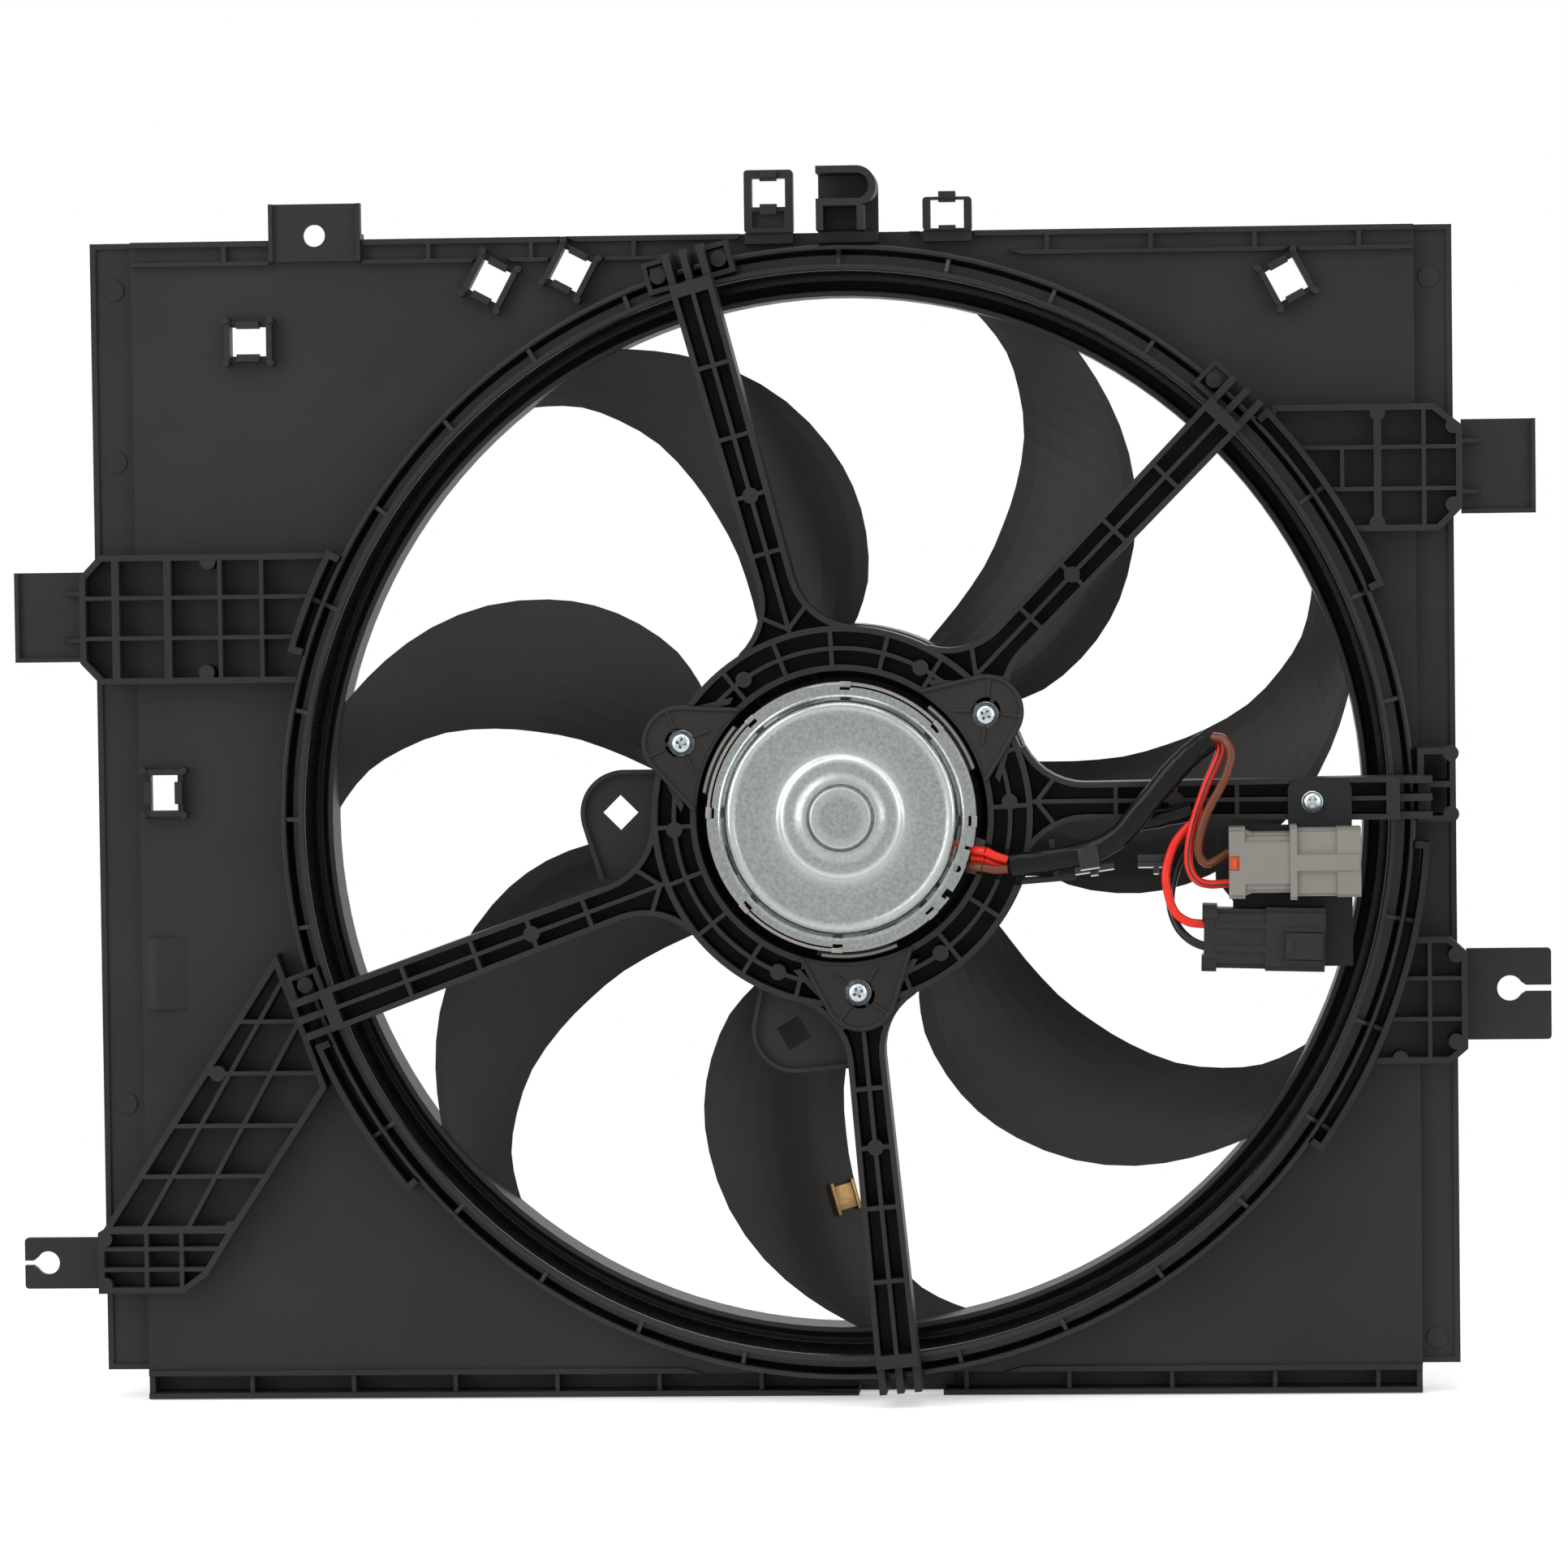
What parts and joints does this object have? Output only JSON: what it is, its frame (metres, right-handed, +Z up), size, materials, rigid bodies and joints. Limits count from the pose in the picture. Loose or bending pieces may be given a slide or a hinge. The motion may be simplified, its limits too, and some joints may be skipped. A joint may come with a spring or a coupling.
{
  "type": "radiator cooling fan",
  "caption": "Engine cooling fan: a moulded rectangular shroud with a round duct, ribbed arms, an electric motor and a swept-blade banded fan wheel.",
  "frame": {"origin": "on the fan's axis, in the plane of the fixing tabs' back faces", "axes": "+Z up as installed, X along the width, Y along the fan's axis with the engine side toward -Y and the radiator toward +Y"},
  "size_m": [0.641, 0.0994, 0.5125],
  "materials": {
    "black_plastic": "fine matte grain of moulded polypropylene",
    "duct_plastic": "smooth glossy moulded wall",
    "fan_plastic": "satin moulded nylon",
    "machined_steel": "turned",
    "brass_strip": "bent spring strip, slightly tarnished",
    "core_steel": "stamped laminations",
    "copper_wire": "enamelled copper",
    "zinc_steel": "zinc-plated drawn sheet with a soft sheen",
    "flange_steel": "zinc-plated pressed plate",
    "ferrite": "sintered ferrite",
    "card_plastic": "moulded resin",
    "carbon": "pressed carbon",
    "grommet_rubber": "matte rubber",
    "screw_zinc": "blue-passivated zinc",
    "coated_steel": "black coated sheet steel",
    "grey_plastic": "light grey moulded nylon",
    "orange_plastic": "moulded lock",
    "tinned_terminal": "tin-plated brass blade",
    "plug_black": "black moulded nylon",
    "sleeve_vinyl": "smooth vinyl sleeve",
    "wire_brown": "vinyl insulation",
    "wire_red": "vinyl insulation",
    "wire_black": "vinyl insulation",
    "clip_plastic": "moulded clip"
  },
  "bodies": {
    "shroud": {"shroud_sheet": "black_plastic", "shroud_duct": "duct_plastic", "duct_braces": "black_plastic", "top_bolt_tab": "black_plastic", "harness_windows": "black_plastic", "top_loops": "black_plastic", "top_hook": "black_plastic", "bracket_left_upper": "black_plastic", "bracket_right_upper": "black_plastic", "bracket_right_lower": "black_plastic", "bracket_left_lower": "black_plastic", "tab_left_upper": "black_plastic", "tab_right_upper": "black_plastic", "tab_right_keyhole": "black_plastic", "tab_left_keyhole": "black_plastic", "carrier_ring": "black_plastic", "arm_top": "black_plastic", "arm_upper_right": "black_plastic", "arm_level": "black_plastic", "arm_bottom": "black_plastic", "arm_left": "black_plastic", "carrier_tabs": "black_plastic", "sleeve_tray": "black_plastic", "harness_clip": "clip_plastic", "motor_can": "zinc_steel", "motor_cap": "zinc_steel", "crimp_ring": "zinc_steel", "motor_flange": "flange_steel", "magnets": "ferrite", "bearings": "machined_steel", "brush_holder": "card_plastic", "brushes": "carbon", "lead_grommet": "grommet_rubber", "motor_screws": "screw_zinc", "plug_bracket": "coated_steel", "plug_bracket_screw": "screw_zinc", "grey_plug": "grey_plastic", "grey_lock": "orange_plastic", "grey_pins": "tinned_terminal", "black_plug": "plug_black", "black_latch": "plug_black", "black_pins": "tinned_terminal", "sleeve_long": "sleeve_vinyl", "sleeve_short": "sleeve_vinyl", "wire_brown": "wire_brown", "wire_red_upper": "wire_red", "wire_red_lower": "wire_red", "wire_black": "wire_black", "motor_leads": "wire_red"},
    "fan": {"fan_hub": "fan_plastic", "fan_blades": "fan_plastic", "fan_ring": "fan_plastic", "fan_insert": "machined_steel", "fan_nut": "machined_steel", "balance_clip": "brass_strip", "motor_shaft": "machined_steel", "armature": "core_steel", "windings": "copper_wire", "commutator": "copper_wire"}
  },
  "joints": [
    {"name": "fan_spin", "type": "hinge", "parent": "shroud", "child": "fan", "pos_m": [0, 0, 0], "axis": [0, -1, 0], "continuous": true}
  ]
}
